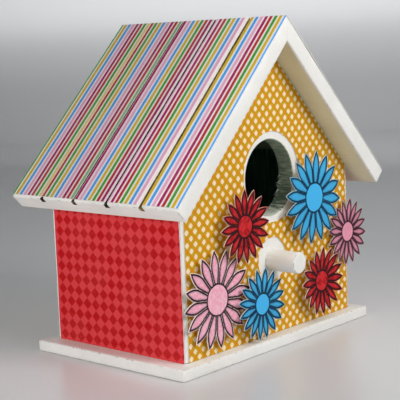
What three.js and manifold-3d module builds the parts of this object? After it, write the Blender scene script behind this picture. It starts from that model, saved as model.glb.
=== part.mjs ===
// A small gabled wooden birdhouse, painted white, papered outside and trimmed with six raised paper flowers.
// Millimetres, +Z up. The origin is the centre of the base board's underside.
// The entrance faces -Y and the ridge runs along Y, so +X is to the right of someone facing the entrance.

import * as THREE from "three";
import { mergeVertices } from "three/addons/utils/BufferGeometryUtils.js";
import Module from "manifold-3d";

const wasm = await Module();
wasm.setup();

// ---- driving dimensions ----

const BODY_WIDTH = 120;
const BODY_DEPTH = 77;
const SIDE_HEIGHT = 70; // outer face of a side wall, from the base board up to the roof
const WALL = 8; // all four walls
const BASE_THICKNESS = 5;
const BASE_SIDE_LEDGE = 7.5;
const BASE_END_LEDGE = 6;

const ROOF_PITCH = Math.PI / 4;
const ROOF_BOARD = 8;
const SOFFIT_LENGTH = 97.5; // underside of a roof board, from ridge to eave
const FRONT_OVERHANG = 12;
const BACK_OVERHANG = 10;
const PLANKS = 5; // each roof board is scored to look like this many planks
const GROOVE_WIDTH = 1.2;
const GROOVE_DEPTH = 1.8;

const ENTRANCE_DIAMETER = 34;
const ENTRANCE_HEIGHT = 75.7;
const PERCH_DIAMETER = 9.5;
const PERCH_REACH = 15.5; // how far the perch stands out of the front wall
const PERCH_HEIGHT = 38.8;

const PAPER = 0.3;
const PASTE = 0.05; // paste between paper, wood, foam and paper
const GLUE = 0.1; // glue line between wooden pieces
const PAPER_FOOT = 0.1; // white paint left showing under the papers
const GABLE_PAPER_LEFT = 2; // and beside a gable wall's paper
const GABLE_PAPER_RIGHT = 1.2;
const SIDE_PAPER_FRONT = 0.1; // and beside a side wall's paper
const SIDE_PAPER_BACK = 1.2;
const SOFFIT_CLEARANCE = 0.4; // the papers stop this far under the roof

// The cuts in the front paper, neither quite central.
const ENTRANCE_CUT = { x: 1.3, z: ENTRANCE_HEIGHT + 0.3, radius: 20 };
const PERCH_CUT = { x: -0.2, z: PERCH_HEIGHT + 0.4, radius: 9.8 };

const BRAD_LENGTH = 20;
const BRAD_POINT = 1.5; // length of its tapered end
const BRAD_RADIUS = 0.6;
const BRAD_HEAD_RADIUS = 1.1;
const BRAD_HEAD_HEIGHT = 1;
const BRAD_SIDES = 8;
const BRAD_SINK = 0.2; // depth of a head's top below the wood's surface
const BRAD_CLEARANCE = 0.25;
const CORNER_BRAD_HEIGHTS = { lower: 30, upper: 62 };
const BASE_BRAD_SPACING = 28;
const ROOF_BRAD_RUNS = { ridge: 22, eave: 70 }; // down the slope from the inside of the ridge

const ROUND_STEPS = 24; // straight runs to half a turn of a hole
const CUT_OVERRUN = 1; // how far a cutter stands out of the face that it goes in by

// ---- places worked out from them ----

const frontFace = -BODY_DEPTH / 2;
const backFace = BODY_DEPTH / 2;
const sideFace = BODY_WIDTH / 2;
const soffitAtWall = BASE_THICKNESS + SIDE_HEIGHT;
const ridgeInside = soffitAtWall + sideFace * Math.tan(ROOF_PITCH);
const roofFront = frontFace - FRONT_OVERHANG;
const roofBack = backFace + BACK_OVERHANG;
const roofLength = roofBack - roofFront;
const plankPitch = roofLength / PLANKS;
const slopeRise = (gap) => gap / Math.cos(ROOF_PITCH); // height of a gap measured square to the roof

// ---- finishes ----

const finish = (color, roughness) => new THREE.MeshStandardMaterial({ color, roughness, metalness: 0 });
const whitePaint = finish(0xf1efe9, 0.6);
const checkPaper = finish(0xd79a2a, 0.7);
const diamondPaper = finish(0xc8323a, 0.7);
const stripePaper = finish(0xd9a9bd, 0.65);
const pinkPaper = finish(0xe3a3bd, 0.7);
const redPaper = finish(0xc22c33, 0.7);
const bluePaper = finish(0x46a6dd, 0.7);
const foam = finish(0xf4f4f2, 0.9);
const steel = new THREE.MeshStandardMaterial({ color: 0xb9bcc0, roughness: 0.35, metalness: 1 });

// ---- solids ----

// A closed geometry, moved by a matrix if one is given, as a manifold-3d solid.
function solid(geometry, matrix) {
  const plain = geometry.clone();
  if (matrix) plain.applyMatrix4(matrix);
  plain.deleteAttribute("normal");
  plain.deleteAttribute("uv");
  const merged = mergeVertices(plain, 1e-4);
  const vertProperties = new Float32Array(merged.attributes.position.array);
  const triVerts = new Uint32Array(merged.index.array);
  return new wasm.Manifold(new wasm.Mesh({ numProp: 3, vertProperties, triVerts }));
}

// What is left of a geometry after the cutters have been taken away.
function cut(geometry, cutters) {
  const mesh = cutters.reduce((rest, cutter) => rest.subtract(cutter), solid(geometry)).getMesh();
  const result = new THREE.BufferGeometry();
  const positions = new Float32Array(mesh.vertProperties);
  result.setAttribute("position", new THREE.BufferAttribute(positions, 3));
  result.setIndex(new THREE.BufferAttribute(new Uint32Array(mesh.triVerts), 1));
  result.computeVertexNormals();
  return result;
}

function shapeOf(points) {
  return new THREE.Shape(points.map(([x, y]) => new THREE.Vector2(x, y)));
}

function circlePath(x, y, radius) {
  return new THREE.Path().absarc(x, y, radius, 0, 2 * Math.PI, true);
}

// A sheet or board that stands from y = near to y = far. The shape's x and y are the part's x and z.
function upright(shape, near, far, curveSegments = ROUND_STEPS) {
  const settings = { depth: far - near, bevelEnabled: false, curveSegments };
  return new THREE.ExtrudeGeometry(shape, settings).rotateX(Math.PI / 2).translate(0, far, 0);
}

const group = new THREE.Group();

function add(name, geometry, material, parent = group) {
  const mesh = new THREE.Mesh(geometry, material);
  mesh.name = name;
  parent.add(mesh);
  return mesh;
}

// ---- roof slopes: one nested group a side ----

// In a slope's own frame x runs along the slope, y along the ridge and z out of the roof. Its origin is on
// the inside of the ridge. The right slope lies along its +x and the left slope along its -x.
function makeSlope(side) {
  const slope = new THREE.Group();
  slope.position.set(0, 0, ridgeInside);
  slope.rotation.y = side * ROOF_PITCH;
  slope.updateMatrixWorld(true);
  group.add(slope);
  return slope;
}

const sides = [
  { name: "left", side: -1 },
  { name: "right", side: 1 },
].map((entry) => ({ ...entry, slope: makeSlope(entry.side) }));

// ---- brads: the headed pins that hold the boards while the glue sets ----

// A brad stands along +Z with its point down and the top of its head at z = 0; swell makes it a drilled hole.
function bradGeometry(swell, above) {
  const profile = [
    [0, -BRAD_LENGTH - swell],
    [BRAD_RADIUS + swell, -BRAD_LENGTH + BRAD_POINT],
    [BRAD_RADIUS + swell, -BRAD_HEAD_HEIGHT - swell],
    [BRAD_HEAD_RADIUS + swell, -swell - BRAD_HEAD_HEIGHT / 2],
    [BRAD_HEAD_RADIUS + swell, above],
    [0, above],
  ].map(([x, y]) => new THREE.Vector2(x, y));
  return new THREE.LatheGeometry(profile, BRAD_SIDES).rotateX(Math.PI / 2);
}

// A brad's name and place: its head at a point of a board's face, and its tip driven in against outward.
function bradAt(name, point, outward) {
  const direction = new THREE.Vector3(...outward).normalize();
  const position = new THREE.Vector3(...point).addScaledVector(direction, -BRAD_SINK);
  const turn = new THREE.Quaternion().setFromUnitVectors(new THREE.Vector3(0, 0, 1), direction);
  const matrix = new THREE.Matrix4().compose(position, turn, new THREE.Vector3(1, 1, 1));
  return { name, position, turn, matrix };
}

// The holes that a board needs for its brads, in the part's frame or in the frame given.
function drilled(brads, frame = new THREE.Matrix4()) {
  const inverse = frame.clone().invert();
  const drill = bradGeometry(BRAD_CLEARANCE, CUT_OVERRUN);
  return brads.map((brad) => solid(drill, inverse.clone().multiply(brad.matrix)));
}

const bradLineX = sideFace - WALL / 2; // middle of a side wall's thickness
const ends = [
  { name: "front", face: frontFace, outward: -1 },
  { name: "back", face: backFace, outward: 1 },
];

// Through the gable walls into the ends of the side walls.
const cornerBrads = ends.flatMap((end) =>
  sides.flatMap(({ name, side }) =>
    Object.entries(CORNER_BRAD_HEIGHTS).map(([level, z]) => ({
      end: end.name,
      side: name,
      ...bradAt(`brad_${end.name}_${name}_${level}`, [side * bradLineX, end.face, z], [0, end.outward, 0]),
    })),
  ),
);

// Up through the base board into the side walls.
const baseBrads = sides.flatMap(({ name, side }) =>
  ends.map((end) => {
    const point = [side * bradLineX, (end.outward * BASE_BRAD_SPACING) / 2, 0];
    return { side: name, ...bradAt(`brad_base_${name}_${end.name}`, point, [0, 0, -1]) };
  }),
);

// Down through the roof boards into the sloping edges of the gable walls.
const roofBrads = sides.flatMap(({ name, side, slope }) =>
  ends.flatMap((end) =>
    Object.entries(ROOF_BRAD_RUNS).map(([place, run]) => {
      const point = new THREE.Vector3(side * run, end.face - (end.outward * WALL) / 2, ROOF_BOARD);
      point.applyMatrix4(slope.matrixWorld);
      const normal = [side * Math.sin(ROOF_PITCH), 0, Math.cos(ROOF_PITCH)];
      const brad = bradAt(`brad_roof_${name}_${end.name}_${place}`, point.toArray(), normal);
      return { end: end.name, side: name, ...brad };
    }),
  ),
);

[...cornerBrads, ...baseBrads, ...roofBrads].forEach(({ name, position, turn }) => {
  const brad = add(name, bradGeometry(0, 0), steel);
  brad.position.copy(position);
  brad.quaternion.copy(turn);
});

// ---- base board ----

const base = new THREE.BoxGeometry(
  BODY_WIDTH + 2 * BASE_SIDE_LEDGE,
  BODY_DEPTH + 2 * BASE_END_LEDGE,
  BASE_THICKNESS,
).translate(0, 0, BASE_THICKNESS / 2);
add("base_board", cut(base, drilled(baseBrads)), whitePaint);

// ---- walls ----

// A gable wall's outline, drawn in by the given amounts at its left, right, foot and sloping edges.
function gableOutline(left, right, foot, under) {
  const ridge = ridgeInside - slopeRise(under);
  const [leftX, rightX] = [left - sideFace, sideFace - right];
  return shapeOf([
    [leftX, BASE_THICKNESS + foot],
    [rightX, BASE_THICKNESS + foot],
    [rightX, ridge - rightX * Math.tan(ROOF_PITCH)],
    [0, ridge],
    [leftX, ridge + leftX * Math.tan(ROOF_PITCH)],
  ]);
}

function gableHoles(end) {
  return drilled([...cornerBrads, ...roofBrads].filter((brad) => brad.end === end));
}

const frontOutline = gableOutline(0, 0, GLUE, GLUE);
frontOutline.holes.push(circlePath(0, ENTRANCE_HEIGHT, ENTRANCE_DIAMETER / 2));
frontOutline.holes.push(circlePath(0, PERCH_HEIGHT, PERCH_DIAMETER / 2 + GLUE));
const frontBoard = upright(frontOutline, frontFace, frontFace + WALL);
add("front_wall", cut(frontBoard, gableHoles("front")), whitePaint);

const backBoard = upright(gableOutline(0, 0, GLUE, GLUE), backFace - WALL, backFace);
add("back_wall", cut(backBoard, gableHoles("back")), whitePaint);

// The side walls stand between the gable walls, their tops bevelled to the roof's slope.
for (const { name, side } of sides) {
  const outer = side * sideFace;
  const inner = side * (sideFace - WALL);
  const underRoof = (x) => ridgeInside - Math.abs(x) * Math.tan(ROOF_PITCH) - slopeRise(GLUE);
  const section = [
    [outer, BASE_THICKNESS + GLUE],
    [outer, underRoof(outer)],
    [inner, underRoof(inner)],
    [inner, BASE_THICKNESS + GLUE],
  ];
  const halfLength = BODY_DEPTH / 2 - WALL - GLUE;
  const board = upright(shapeOf(section), -halfLength, halfLength);
  const holes = drilled([...cornerBrads, ...baseBrads].filter((brad) => brad.side === name));
  add(`${name}_wall`, cut(board, holes), whitePaint);
}

// ---- perch ----

const perchLength = PERCH_REACH + WALL;
const perchRadius = PERCH_DIAMETER / 2;
const perch = new THREE.CylinderGeometry(perchRadius, perchRadius, perchLength, 2 * ROUND_STEPS);
add("perch_dowel", perch, whitePaint).position.set(0, frontFace + WALL - perchLength / 2, PERCH_HEIGHT);

// ---- roof boards, mitred at the ridge and scored into planks ----

for (const { name, side, slope } of sides) {
  const section = [
    [side * GLUE, 0],
    [side * SOFFIT_LENGTH, 0],
    [side * SOFFIT_LENGTH, ROOF_BOARD],
    [side * (GLUE - ROOF_BOARD / Math.tan(ROOF_PITCH)), ROOF_BOARD],
  ];
  const longer = 3 * SOFFIT_LENGTH; // so that a groove's cutter runs out past the ridge and the eave
  const grooves = Array.from({ length: PLANKS - 1 }, (_, i) => {
    const groove = new THREE.BoxGeometry(longer, GROOVE_WIDTH, 2 * GROOVE_DEPTH);
    return solid(groove.translate(0, roofBack - (i + 1) * plankPitch, ROOF_BOARD));
  });
  const brads = roofBrads.filter((brad) => brad.side === name);
  const board = upright(shapeOf(section), roofFront, roofBack);
  const scored = cut(board, [...grooves, ...drilled(brads, slope.matrixWorld)]);
  add(`roof_board_${name}`, scored, whitePaint, slope);
}

// ---- paper on the roof: one strip a plank, each cut by hand a little narrower than its plank ----

// Bare paint left between a strip and its plank's two long edges, from the back plank to the front one.
// A strip with less than none reaches over the groove.
const STRIP_MARGINS = [
  { back: 0.3, front: -0.4 },
  { back: -0.6, front: -0.4 },
  { back: -0.1, front: -0.1 },
  { back: 0.2, front: 1 },
  { back: 0.1, front: 0.1 },
];
const STRIP_RIDGE_MARGIN = 0.5;
const STRIP_EAVE_MARGIN = 1;

for (const { name, side, slope } of sides) {
  const start = STRIP_RIDGE_MARGIN - ROOF_BOARD / Math.tan(ROOF_PITCH);
  const length = SOFFIT_LENGTH - STRIP_EAVE_MARGIN - start;
  STRIP_MARGINS.forEach((margin, i) => {
    const back = roofBack - i * plankPitch - (i > 0 ? GROOVE_WIDTH / 2 : 0) - margin.back;
    const front = roofBack - (i + 1) * plankPitch + (i < PLANKS - 1 ? GROOVE_WIDTH / 2 : 0) + margin.front;
    const sheet = new THREE.BoxGeometry(length, back - front, PAPER);
    const strip = add(`stripe_paper_${name}_${i + 1}`, sheet, stripePaper, slope);
    strip.position.set(side * (start + length / 2), (back + front) / 2, ROOF_BOARD + PASTE + PAPER / 2);
  });
}

// ---- paper on the walls ----

function gablePaper() {
  return gableOutline(GABLE_PAPER_LEFT, GABLE_PAPER_RIGHT, PAPER_FOOT, SOFFIT_CLEARANCE);
}

const frontPaper = gablePaper();
for (const { x, z, radius } of [ENTRANCE_CUT, PERCH_CUT]) frontPaper.holes.push(circlePath(x, z, radius));
add("front_paper", upright(frontPaper, frontFace - PASTE - PAPER, frontFace - PASTE), checkPaper);
add("back_paper", upright(gablePaper(), backFace + PASTE, backFace + PASTE + PAPER), checkPaper);

for (const { name, side } of sides) {
  const foot = BASE_THICKNESS + PAPER_FOOT;
  const height = soffitAtWall - slopeRise(SOFFIT_CLEARANCE) - PASTE - PAPER - foot;
  const [front, back] = [frontFace + SIDE_PAPER_FRONT, backFace - SIDE_PAPER_BACK];
  const sheet = add(`${name}_paper`, new THREE.BoxGeometry(PAPER, back - front, height), diamondPaper);
  sheet.position.set(side * (sideFace + PASTE + PAPER / 2), (front + back) / 2, foot + height / 2);
}

// ---- flowers, each standing off the front paper on a foam pad ----

const SMALL_FLOWER = 16.2;
const LARGE_FLOWER = 21.6;
const LOW_PAD = 2;
const HIGH_PAD = 4.5;

// x and z are a flower's centre, turn is the direction of one petal in degrees, and slide is how far the
// pad sits to the right of the centre.
const FLOWERS = {
  red_upper: { x: -24.6, z: 57.8, turn: 1, radius: SMALL_FLOWER, pad: HIGH_PAD, card: redPaper },
  red_lower: { x: 30.8, z: 24.2, turn: -1.5, radius: SMALL_FLOWER, pad: HIGH_PAD, card: redPaper },
  pink_large: { x: -41.3, z: 28.9, turn: 4.5, radius: LARGE_FLOWER, pad: LOW_PAD, card: pinkPaper },
  pink_small: { x: 56.7, z: 43.4, turn: 14.5, radius: SMALL_FLOWER, pad: LOW_PAD, slide: -4, card: pinkPaper },
  blue_large: { x: 26.5, z: 63.9, turn: 14.6, radius: LARGE_FLOWER, pad: HIGH_PAD, card: bluePaper },
  blue_small: { x: -14.2, z: 21.9, turn: 11.2, radius: SMALL_FLOWER, pad: HIGH_PAD, card: bluePaper },
};

const PETALS = 16;
const PETAL_STEPS = 3; // straight runs to one side of a petal
const PETAL_JOIN = 0.6; // distance from the centre where neighbouring petals join, in radii
const PETAL_BULGE = 0.84; // and where a petal's side curves in towards its point
const BULGE_WIDTH = 0.42; // a petal's half width there, in turns from one petal to the next

function flowerShape(radius, turn) {
  const at = (r, angle) => [r * Math.cos(angle), r * Math.sin(angle)];
  const step = (2 * Math.PI) / PETALS;
  const first = THREE.MathUtils.degToRad(turn);
  const shape = new THREE.Shape();
  shape.moveTo(...at(PETAL_JOIN * radius, first - step / 2));
  for (let i = 0; i < PETALS; i++) {
    const angle = first + i * step;
    const rising = at(PETAL_BULGE * radius, angle - BULGE_WIDTH * step);
    const falling = at(PETAL_BULGE * radius, angle + BULGE_WIDTH * step);
    shape.quadraticCurveTo(...rising, ...at(radius, angle));
    shape.quadraticCurveTo(...falling, ...at(PETAL_JOIN * radius, angle + step / 2));
  }
  return shape;
}

const padBack = frontFace - PASTE - PAPER - PASTE;
for (const [name, { x, z, turn, radius, pad, slide = 0, card }] of Object.entries(FLOWERS)) {
  const width = radius / 2;
  const block = new THREE.BoxGeometry(width, pad, width);
  add(`foam_pad_${name}`, block, foam).position.set(x + slide, padBack - pad / 2, z);
  const cardBack = padBack - pad - PASTE;
  const flower = upright(flowerShape(radius, turn), cardBack - PAPER, cardBack, PETAL_STEPS);
  add(`flower_${name}`, flower, card).position.set(x, 0, z);
}

export default group;
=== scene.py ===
"""The looks of a small papered birdhouse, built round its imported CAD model.

The frame has +Z up and the entrance towards -Y. Lengths are millimetres until MM turns them to metres, but
the lights and the camera are in metres throughout.
"""

import math
from collections import namedtuple

import bmesh
import bpy
from mathutils import Matrix, Vector, noise
from mathutils.geometry import tessellate_polygon


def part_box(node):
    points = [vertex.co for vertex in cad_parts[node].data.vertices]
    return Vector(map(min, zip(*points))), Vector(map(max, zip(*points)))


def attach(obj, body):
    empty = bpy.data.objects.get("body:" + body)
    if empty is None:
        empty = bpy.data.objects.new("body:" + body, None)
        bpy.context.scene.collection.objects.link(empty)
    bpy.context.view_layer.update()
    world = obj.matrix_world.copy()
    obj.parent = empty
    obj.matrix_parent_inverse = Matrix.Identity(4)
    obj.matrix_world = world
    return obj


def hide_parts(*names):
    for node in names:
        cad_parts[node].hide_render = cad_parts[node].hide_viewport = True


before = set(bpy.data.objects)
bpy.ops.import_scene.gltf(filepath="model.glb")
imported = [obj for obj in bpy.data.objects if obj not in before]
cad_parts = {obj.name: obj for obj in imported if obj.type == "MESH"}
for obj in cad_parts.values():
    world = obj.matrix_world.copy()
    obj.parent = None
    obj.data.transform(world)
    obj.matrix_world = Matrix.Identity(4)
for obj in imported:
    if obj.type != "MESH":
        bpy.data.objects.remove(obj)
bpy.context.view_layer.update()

scene = bpy.context.scene
MM = 0.001
noise.seed_set(1)  # outlines wander in the same way on every run

# ---- sizes the boxes of the CAD nodes don't give, in millimetres ----

ROOF_PITCH = math.radians(45)
ROOF_BOARD = 8
SOFFIT_LENGTH = 97.5
GLUE = 0.1  # the CAD model's glue line between wooden pieces
MITRE_GAP = 0.02  # how much of it this model leaves open at the ridge
PAPER = 0.3  # the thickness of paper and card
PASTE = 0.05
PLANKS = 5
GROOVE_WIDTH = 1.2
GROOVE_DEPTH = 1.8
STRIP_RIDGE_MARGIN = 0.5
STRIP_EAVE_MARGIN = 1
ENTRANCE = (0, 75.7)
ENTRANCE_RADIUS = 17
ENTRANCE_CUT = (1.3, 76)  # the hole in the front paper, a little off the entrance's centre
ENTRANCE_CUT_RADIUS = 20
PERCH_CUT = (-0.2, 39.2)
PERCH_CUT_RADIUS = 9.8
BRAD_HOLE_RADIUS = 1.35
BRAD_HOLE_ROUNDING = 0.2

PETALS = 16
HALF_PETAL = math.pi / PETALS  # half a petal's share of the turn
INK_LINE = 0.8
CARD_MARGIN = 0.26
POINT_SLOPE = 0.6  # how fast a petal's sides run together at its point
POINT_MARGIN = 0.25  # card left beyond the ink at the point, where it is cut square
PETAL_SPREAD = 0.66  # distance from the centre where neighbouring petals part, in radii

QUARTER = math.pi / 2
ONE_POINT = 1e-6  # metres: points nearer to each other than this are joined
NO_LENGTH = 1e-7  # metres: edges shorter than this are dissolved


def box(node):
    """A CAD node's lowest and highest corners, in millimetres."""
    low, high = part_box(node)
    return low / MM, high / MM


def srgb(red, green, blue):
    """A display colour, 0 to 255 a channel, as the linear colour that a shader takes."""
    shares = [channel / 255 for channel in (red, green, blue)]
    linear = [c / 12.92 if c <= 0.04045 else ((c + 0.055) / 1.055) ** 2.4 for c in shares]
    return (*linear, 1.0)


def mixed(one, other, share):
    """A colour that share of the way from one to the other."""
    return tuple(a + (b - a) * share for a, b in zip(one, other))


def uneven(x, y, z):
    """Smooth noise, from about -1 to 1."""
    return noise.noise(Vector((x, y, z)))


def placed(name, data):
    """A new object in the scene."""
    made = bpy.data.objects.new(name, data)
    scene.collection.objects.link(made)
    return made


# ---- materials ----


class Look:
    """A material's Principled shader, and short calls for the nodes that feed it."""

    def __init__(self, name, roughness, **sockets):
        self.material = bpy.data.materials.new(name)
        self.material.use_nodes = True
        self.tree = self.material.node_tree
        self.shader = self.tree.nodes["Principled BSDF"]
        self.set(self.shader, {"Roughness": roughness, **sockets})
        place = self.node("ShaderNodeTexCoord").outputs["Object"]
        self.place = self.node(
            "ShaderNodeVectorMath", {"Vector": place, "Scale": 1 / MM}, operation="SCALE"
        ).outputs["Vector"]

    def set(self, node, inputs):
        for name, value in inputs.items():
            socket = node.inputs[name]
            if isinstance(value, bpy.types.NodeSocket):
                self.tree.links.new(value, socket)
            else:
                socket.default_value = value

    def node(self, kind, inputs=None, **settings):
        node = self.tree.nodes.new(kind)
        for name, value in settings.items():
            setattr(node, name, value)
        self.set(node, inputs or {})
        return node

    def math(self, operation, first, second=0.0):
        return self.node("ShaderNodeMath", {0: first, 1: second}, operation=operation).outputs[0]

    def step(self, value, low, high):
        """0 below low, 1 above high, and a smooth rise between."""
        inputs = {"Value": value, "From Min": low, "From Max": high}
        made = self.node("ShaderNodeMapRange", inputs, interpolation_type="SMOOTHSTEP")
        return made.outputs["Result"]

    def span(self, value, low, high):
        """A value from 0 to 1 laid over low to high."""
        made = self.node("ShaderNodeMapRange", {"Value": value, "To Min": low, "To Max": high})
        return made.outputs["Result"]

    def past(self, distance, edge):
        """0 short of an edge in a print and 1 past it."""
        return self.step(distance, edge - INK_SOFTNESS, edge + INK_SOFTNESS)

    def wander(self, grain, reach):
        """A grain's difference from its middle, times that reach."""
        return self.math("MULTIPLY", self.math("SUBTRACT", grain, 0.5), reach)

    def diagonal(self, across, up, sign, start):
        """How far a place lies from start along across + up, or along across - up where sign is -1."""
        return self.math("SUBTRACT", self.math("ADD", across, self.math("MULTIPLY", up, sign)), start)

    def stretched(self, across):
        """The place in millimetres, with each axis divided by the length that features run along it."""
        lengths = across if isinstance(across, tuple) else (across,) * 3
        scales = tuple(1 / length for length in lengths)
        made = self.node("ShaderNodeVectorMath", {0: self.place, 1: scales}, operation="MULTIPLY")
        return made.outputs["Vector"]

    def grain(self, across, detail=3.0):
        """Noise from about 0.3 to 0.7, whose features are that long along X, Y and Z."""
        inputs = {"Vector": self.stretched(across), "Scale": 1.0, "Detail": detail}
        return self.node("ShaderNodeTexNoise", inputs).outputs["Fac"]

    def blend(self, share, one, other):
        made = self.node("ShaderNodeMix", data_type="RGBA", clamp_factor=True)
        self.set(made, {0: share, 6: one, 7: other})
        return made.outputs[2]

    def axes(self, vector=None):
        made = self.node("ShaderNodeSeparateXYZ", {"Vector": vector or self.place})
        return made.outputs["X"], made.outputs["Y"], made.outputs["Z"]

    def attribute(self, name):
        return self.node("ShaderNodeAttribute", attribute_name=name)

    def surface(self, colour, roughness):
        self.set(self.shader, {"Base Color": colour, "Roughness": roughness})

    def bump(self, height, depth):
        """Raises the surface by up to that depth; a second call adds to the first."""
        inputs = {"Height": height, "Distance": depth * MM, "Strength": 1.0}
        if self.shader.inputs["Normal"].is_linked:
            inputs["Normal"] = self.shader.inputs["Normal"].links[0].from_socket
        self.set(self.shader, {"Normal": self.node("ShaderNodeBump", inputs).outputs["Normal"]})

    def wear_off(self, colour, beneath, share):
        """Shows what lies beneath the colour in patches along worn edges, more of it for a larger share."""
        wear = self.attribute("wear").outputs["Fac"]
        worn = self.math("MULTIPLY", wear, self.grain(2.2, 5.0))
        return self.blend(self.step(worn, 0.62 - share, 0.85 - share), colour, beneath)


PAINT_LIGHT = (243, 241, 236)
PAINT_DARK = (236, 234, 229)
WOOD_BENEATH = srgb(178, 166, 146)
PAPER_SHEEN = 0.2
BORE_LIT_FOOT = (59, 64)  # below these heights the bore turns pale: painted light where light falls on its foot
BORE_DARKER_BAND = (64, 80)  # below these heights the bore is darker


def painted_wood(name, along, tint=(1, 1, 1)):
    """Brushed white paint over fine-grained wood. along is the length of the grain's features on each axis,
    and tint multiplies the paint."""
    look = Look(name, 0.5, IOR=1.45)
    cloud = look.grain(18)
    strokes = look.grain(along, 5.0)
    fine = look.grain(tuple(0.3 * length for length in along), 4.0)
    speck = look.grain(0.35, 2.0)
    light = srgb(*[channel * share for channel, share in zip(PAINT_LIGHT, tint)])
    dark = srgb(*[channel * share for channel, share in zip(PAINT_DARK, tint)])
    colour = look.blend(look.step(cloud, 0.35, 0.65), light, dark)
    colour = look.blend(look.span(look.step(strokes, 0.45, 0.75), 0, 0.35), colour, srgb(226, 222, 213))
    colour = look.blend(look.span(look.step(speck, 0.6, 0.72), 0, 0.3), colour, srgb(214, 210, 202))
    colour = look.wear_off(colour, WOOD_BENEATH, 0.2)
    look.surface(colour, look.span(strokes, 0.38, 0.68))
    look.bump(strokes, 0.12)
    look.bump(fine, 0.05)
    look.bump(speck, 0.03)
    return look.material


def raw_wood(name, along, light, dark, fuzz):
    """Bare sawn wood: streaks along the grain, and a paler fuzz of torn fibres."""
    look = Look(name, 0.85)
    streaks = look.grain(along, 6.0)
    fibres = look.grain(tuple(0.25 * length for length in along), 5.0)
    colour = look.blend(look.step(streaks, 0.35, 0.65), dark, light)
    torn = look.span(look.step(fibres, 0.5, 0.7), 0, 0.5)
    colour = look.blend(torn, colour, mixed(light, srgb(255, 250, 240), 0.4))
    look.surface(colour, look.span(fibres, 0.75, 0.95))
    look.bump(streaks, 0.2)
    look.bump(fibres, fuzz)
    return look.material


def sawn_bore_look():
    """The entrance's inside: greenish sawn end grain, darker lower down, with painted light at its foot."""
    look = Look("sawn_bore", 0.85)
    streaks = look.grain((0.8, 5, 0.8), 6.0)
    fibres = look.grain((0.25, 2, 0.25), 4.0)
    colour = look.blend(look.step(streaks, 0.3, 0.7), srgb(146, 160, 138), srgb(196, 210, 184))
    height = look.math("ADD", look.axes()[2], look.wander(streaks, 16.0))
    colour = look.blend(look.step(height, *BORE_DARKER_BAND), srgb(88, 104, 86), colour)
    # Painted light: the bore's foot turns pale where light falls on it
    colour = look.blend(look.step(height, *BORE_LIT_FOOT), srgb(206, 212, 196), colour)
    look.surface(colour, look.span(fibres, 0.75, 0.95))
    look.bump(streaks, 0.12)
    look.bump(fibres, 0.08)
    return look.material


def as_print(look, colour, fade=srgb(244, 236, 226)):
    """Finishes printed paper: ink a little thin along the fibres, faded at the edges, slightly uneven."""
    fibre = look.grain(0.5, 4.0)
    cloud = look.grain(14)
    colour = look.blend(look.span(look.step(fibre, 0.5, 0.75), 0, 0.1), colour, fade)
    colour = look.blend(look.span(look.step(cloud, 0.4, 0.65), 0, 0.03), colour, fade)
    colour = look.wear_off(colour, fade, 0.05)
    look.surface(colour, look.span(fibre, 0.5, 0.72))
    look.set(look.shader, {"Specular IOR Level": PAPER_SHEEN})
    look.bump(fibre, 0.02)
    look.bump(cloud, 0.15)
    return look.material


GINGHAM_PITCH = 3.73  # along each of the two diagonals
GINGHAM_DOT = (1.5, 112)  # x and z of the middle of one white cell
GINGHAM_CELL = 0.262  # half a white cell, in pitches


def check_paper():
    """Gingham turned by 45 degrees: two sets of bands, darker where they cross, and pale cells between."""
    look = Look("check_paper", 0.6)
    x, _, z = look.axes()
    waver = look.wander(look.grain(3, 2.0), 0.1)
    bands = []
    for sign in (1, -1):
        start = GINGHAM_DOT[0] + sign * GINGHAM_DOT[1] - GINGHAM_PITCH * math.sqrt(2) / 2
        run = look.diagonal(x, z, sign, start)
        turns = look.math("ADD", look.math("DIVIDE", run, GINGHAM_PITCH * math.sqrt(2)), waver)
        bands.append(look.math("ABSOLUTE", look.math("SUBTRACT", look.math("FRACT", turns), 0.5)))
    rounded = look.math("ADD", look.math("POWER", bands[0], 4.0), look.math("POWER", bands[1], 4.0))
    outside = look.step(look.math("POWER", rounded, 0.25), GINGHAM_CELL - 0.02, GINGHAM_CELL + 0.05)
    within = [look.step(band, GINGHAM_CELL - 0.04, GINGHAM_CELL + 0.06) for band in bands]
    crossing = look.math("MINIMUM", *within)
    band_colour = look.blend(crossing, srgb(204, 158, 0), srgb(220, 138, 0))
    colour = look.blend(outside, srgb(250, 226, 192), band_colour)
    return as_print(look, colour, fade=srgb(244, 194, 60))


DIAMOND_SIDE = 3.7
DIAMOND_CENTRE = (-15.8, 57.7)  # y and z of the middle of one light diamond on a side wall
DIAMOND_LIGHT = srgb(219, 61, 66)
DIAMOND_DARK = srgb(187, 10, 17)


def diamonds(look, across, light, dark):
    """A checkerboard standing on its corners, each cell's corners softened where four of them meet."""
    up = look.axes()[2]
    waves = []
    for sign in (1, -1):
        start = DIAMOND_CENTRE[0] + sign * DIAMOND_CENTRE[1]
        run = look.diagonal(across, up, sign, start)
        turn = look.math("MULTIPLY", run, math.pi / (DIAMOND_SIDE * math.sqrt(2)))
        waves.append(look.math("COSINE", turn))
    product = look.math("MULTIPLY", *waves)
    return look.blend(look.step(product, -0.2, 0.14), dark, light)


def diamond_paper():
    look = Look("diamond_paper", 0.6)
    across = look.axes()[1]
    return as_print(look, diamonds(look, across, DIAMOND_LIGHT, DIAMOND_DARK), fade=srgb(248, 150, 146))


STRIPE_PITCH = 2.6
STRIPE_LINE = 0.61  # the coloured line's share of the pitch
STRIPE_SOFTNESS = 0.03  # half the share over which a line turns to the gap beside it
STRIPE_GROUND = srgb(253, 246, 245)
# Painted shade: the grey that darkens the back strips' print, as light falls off towards the back
FALLOFF_SHADE = srgb(44, 44, 40)
STRIPES = [  # in order across the sheet
    srgb(66, 156, 44),  # green
    srgb(214, 176, 18),  # ochre
    srgb(64, 158, 232),  # blue
    srgb(232, 168, 196),  # light pink
    srgb(166, 0, 92),  # magenta
    srgb(184, 36, 48),  # red
]


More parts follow.
